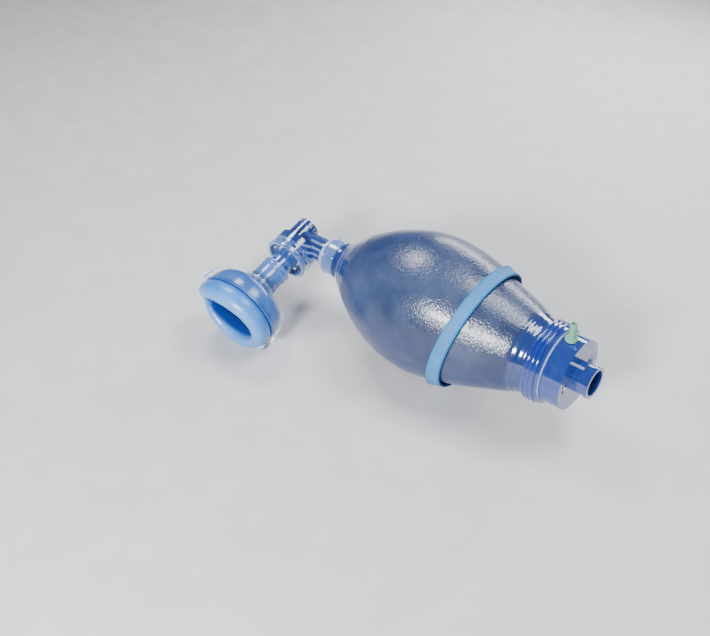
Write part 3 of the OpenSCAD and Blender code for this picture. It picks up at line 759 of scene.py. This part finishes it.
# %% Mask shell and cushion
dome_paint = Paint("mask_shell_pvc", (0.30, 0.50, 0.84), Coat_Roughness=0.15, IOR=1.5,
                   Specular_IOR_Level=0.6)
cloud = dome_paint.grain(24, 3).ramp(0.3, 0.75)
depth_mm = dome_paint.along(face_way, (valve_x, axis_y, axis_z))
neck_share = 1 - depth_mm.ramp(DOME_Z - 3, DOME_Z + 3)
joint_line = depth_mm.ramp(RIM_Z - 1.8, RIM_Z - 1.1)
pale = dome_paint.mix(cloud, (0.020, 0.092, 0.33), (0.052, 0.16, 0.45))
pale = dome_paint.mix(neck_share * 0.5, pale, (0.12, 0.28, 0.66))
pale = dome_paint.mix(joint_line * 0.8, pale, (0.02, 0.08, 0.34))
dome_paint.feed("Base Color", dome_paint.mix(dome_paint.facing(0.4) * 0.35, pale, (0.02, 0.10, 0.46)))
dome_paint.feed("Roughness", 0.2 - neck_share * 0.12 + 0.12 * cloud)
dome_paint.feed("Coat Weight", 0.3 + neck_share * 0.7)
dome_paint.feed("Alpha", (0.86 - neck_share * 0.14 + dome_paint.facing(0.5) * 0.22).clipped())
dome_paint.bump(dome_paint.grain(1.6, 2) + dome_paint.grain(14, 2) * 2, 0.12, 0.3)
dome_paint.on(shell)

air = Paint("cushion_skin", (0.30, 0.58, 0.92), Coat_Roughness=0.25, IOR=1.48, Specular_IOR_Level=0.5)
inner_shade = air.attribute("inside")
cloud = air.grain(20, 3).ramp(0.3, 0.75)
skin = air.mix(cloud, (0.030, 0.18, 0.56), (0.062, 0.25, 0.66))
# painted highlight: the top of the ring is mixed towards a paler blue, as if lit from above
skin = air.mix(air.attribute("crest_highlight") * 0.22, skin, (0.34, 0.58, 0.92))
# painted shade: the inner lip, down in the mask's opening, is mixed towards dark blue
skin = air.mix(inner_shade, skin, (0.002, 0.030, 0.24))
air.feed("Base Color", air.mix(air.facing(0.35) * 0.3, skin, (0.04, 0.20, 0.64)))
air.feed("Roughness", 0.3 + 0.12 * cloud)
air.feed("Coat Weight", 0.25 - inner_shade * 0.1)
air.bump(air.grain(0.9, 2) + air.grain(9, 2) * 1.5, 0.10, 0.35)
air.on(cushion)

# %% [markdown]
# The small inner parts show through the clear ones, so they get real finishes too: milky silicone for the
# flaps and the lip valve, white acetal for buttons and rings, black rubber for the O-ring, and drawn wire.


# %% Small inner parts
def opaque(name, dark, light, rough, grain_mm=2.0, bump_mm=0.05, **constants):
    paint = Paint(name, light, **constants)
    patch = paint.grain(grain_mm * 6, 3).ramp(0.35, 0.7)
    paint.feed("Base Color", paint.mix(patch, dark, light))
    paint.feed("Roughness", rough + 0.14 * patch)
    paint.bump(paint.grain(grain_mm, 3), bump_mm, 0.5)
    return paint


silicone = opaque("milky_silicone", (0.20, 0.30, 0.52), (0.34, 0.45, 0.64), 0.32,
                  Subsurface_Weight=0.15, Subsurface_Scale=0.002)
silicone.on(*(frame["nodes"][n] for n in ("intake_flap", "rear_seal", "overflow_flap", "air_inlet_flap",
                                          "valve_seal", "lip_valve")))
acetal = opaque("white_acetal", (0.50, 0.57, 0.70), (0.68, 0.74, 0.83), 0.3)
acetal.on(rigid["relief_poppet"], *(frame["nodes"][n] for n in (
    "intake_flap_button", "reservoir_flap_buttons", "inlet_snap_ring", "port_snap_ring")))
rubber = opaque("black_rubber", (0.012, 0.012, 0.014), (0.03, 0.03, 0.033), 0.4)
rubber.on(frame["nodes"]["neck_o_ring"])
wire = opaque("spring_wire", (0.45, 0.45, 0.47), (0.62, 0.62, 0.64), 0.22, 0.6, 0.01, Metallic=1.0)
wire.on(spring)
green = opaque("nipple_moulding", (0.11, 0.34, 0.22), (0.16, 0.44, 0.29), 0.28)
green.on(rigid["oxygen_nipple"])
plug_blue = opaque("plug_vinyl", (0.03, 0.12, 0.50), (0.06, 0.19, 0.62), 0.34)
plug_blue.on(rigid["inflation_plug"])

# %% [markdown]
# ## Studio
# A plain pale floor under four lamps: a small bright one low at the front, a soft one overhead, a weak fill
# from the upper left, and a strip behind that draws the edges of the clear plastic.

# %% Floor and lights
bm = bmesh.new()
bmesh.ops.create_grid(bm, x_segments=8, y_segments=8, size=3)
floor_mesh = bpy.data.meshes.new("floor")
bm.to_mesh(floor_mesh)
bm.free()
floor = bpy.data.objects.new("floor", floor_mesh)
bpy.context.scene.collection.objects.link(floor)
bench = opaque("pale_bench", (0.58, 0.58, 0.59), (0.62, 0.62, 0.63), 0.6, 6.0, 0.02)
bench.on(floor)


AIM, COOL = Vector((0, 0, 0.05)), (0.95, 0.97, 1.0)


def soft_light(name, size, power, place, colour=(1, 1, 1)):
    data = bpy.data.lights.new(name, "AREA")
    data.shape, data.size, data.size_y = "RECTANGLE", *size
    data.energy, data.color = power, colour
    lamp = bpy.data.objects.new(name, data)
    direction = AIM - Vector(place)
    lamp.matrix_world = Matrix.Translation(place) @ direction.to_track_quat("-Z", "Y").to_matrix().to_4x4()
    bpy.context.scene.collection.objects.link(lamp)
    return lamp


soft_light("key", (0.30, 0.22), 35, (0.24, -1.15, 0.68))
soft_light("top", (0.55, 0.4), 10, (0.35, 0.30, 1.05), colour=COOL)
soft_light("fill", (0.34, 0.26), 7, (-0.60, 0.16, 0.98), colour=COOL)
soft_light("edge", (0.9, 0.2), 8, (-0.1, 0.95, 0.4), colour=COOL)
world = bpy.data.worlds.new("studio")
world.use_nodes = True
world.node_tree.nodes["Background"].inputs["Color"].default_value = (0.80, 0.84, 0.90, 1)
world.node_tree.nodes["Background"].inputs["Strength"].default_value = 0.19
bpy.context.scene.world = world
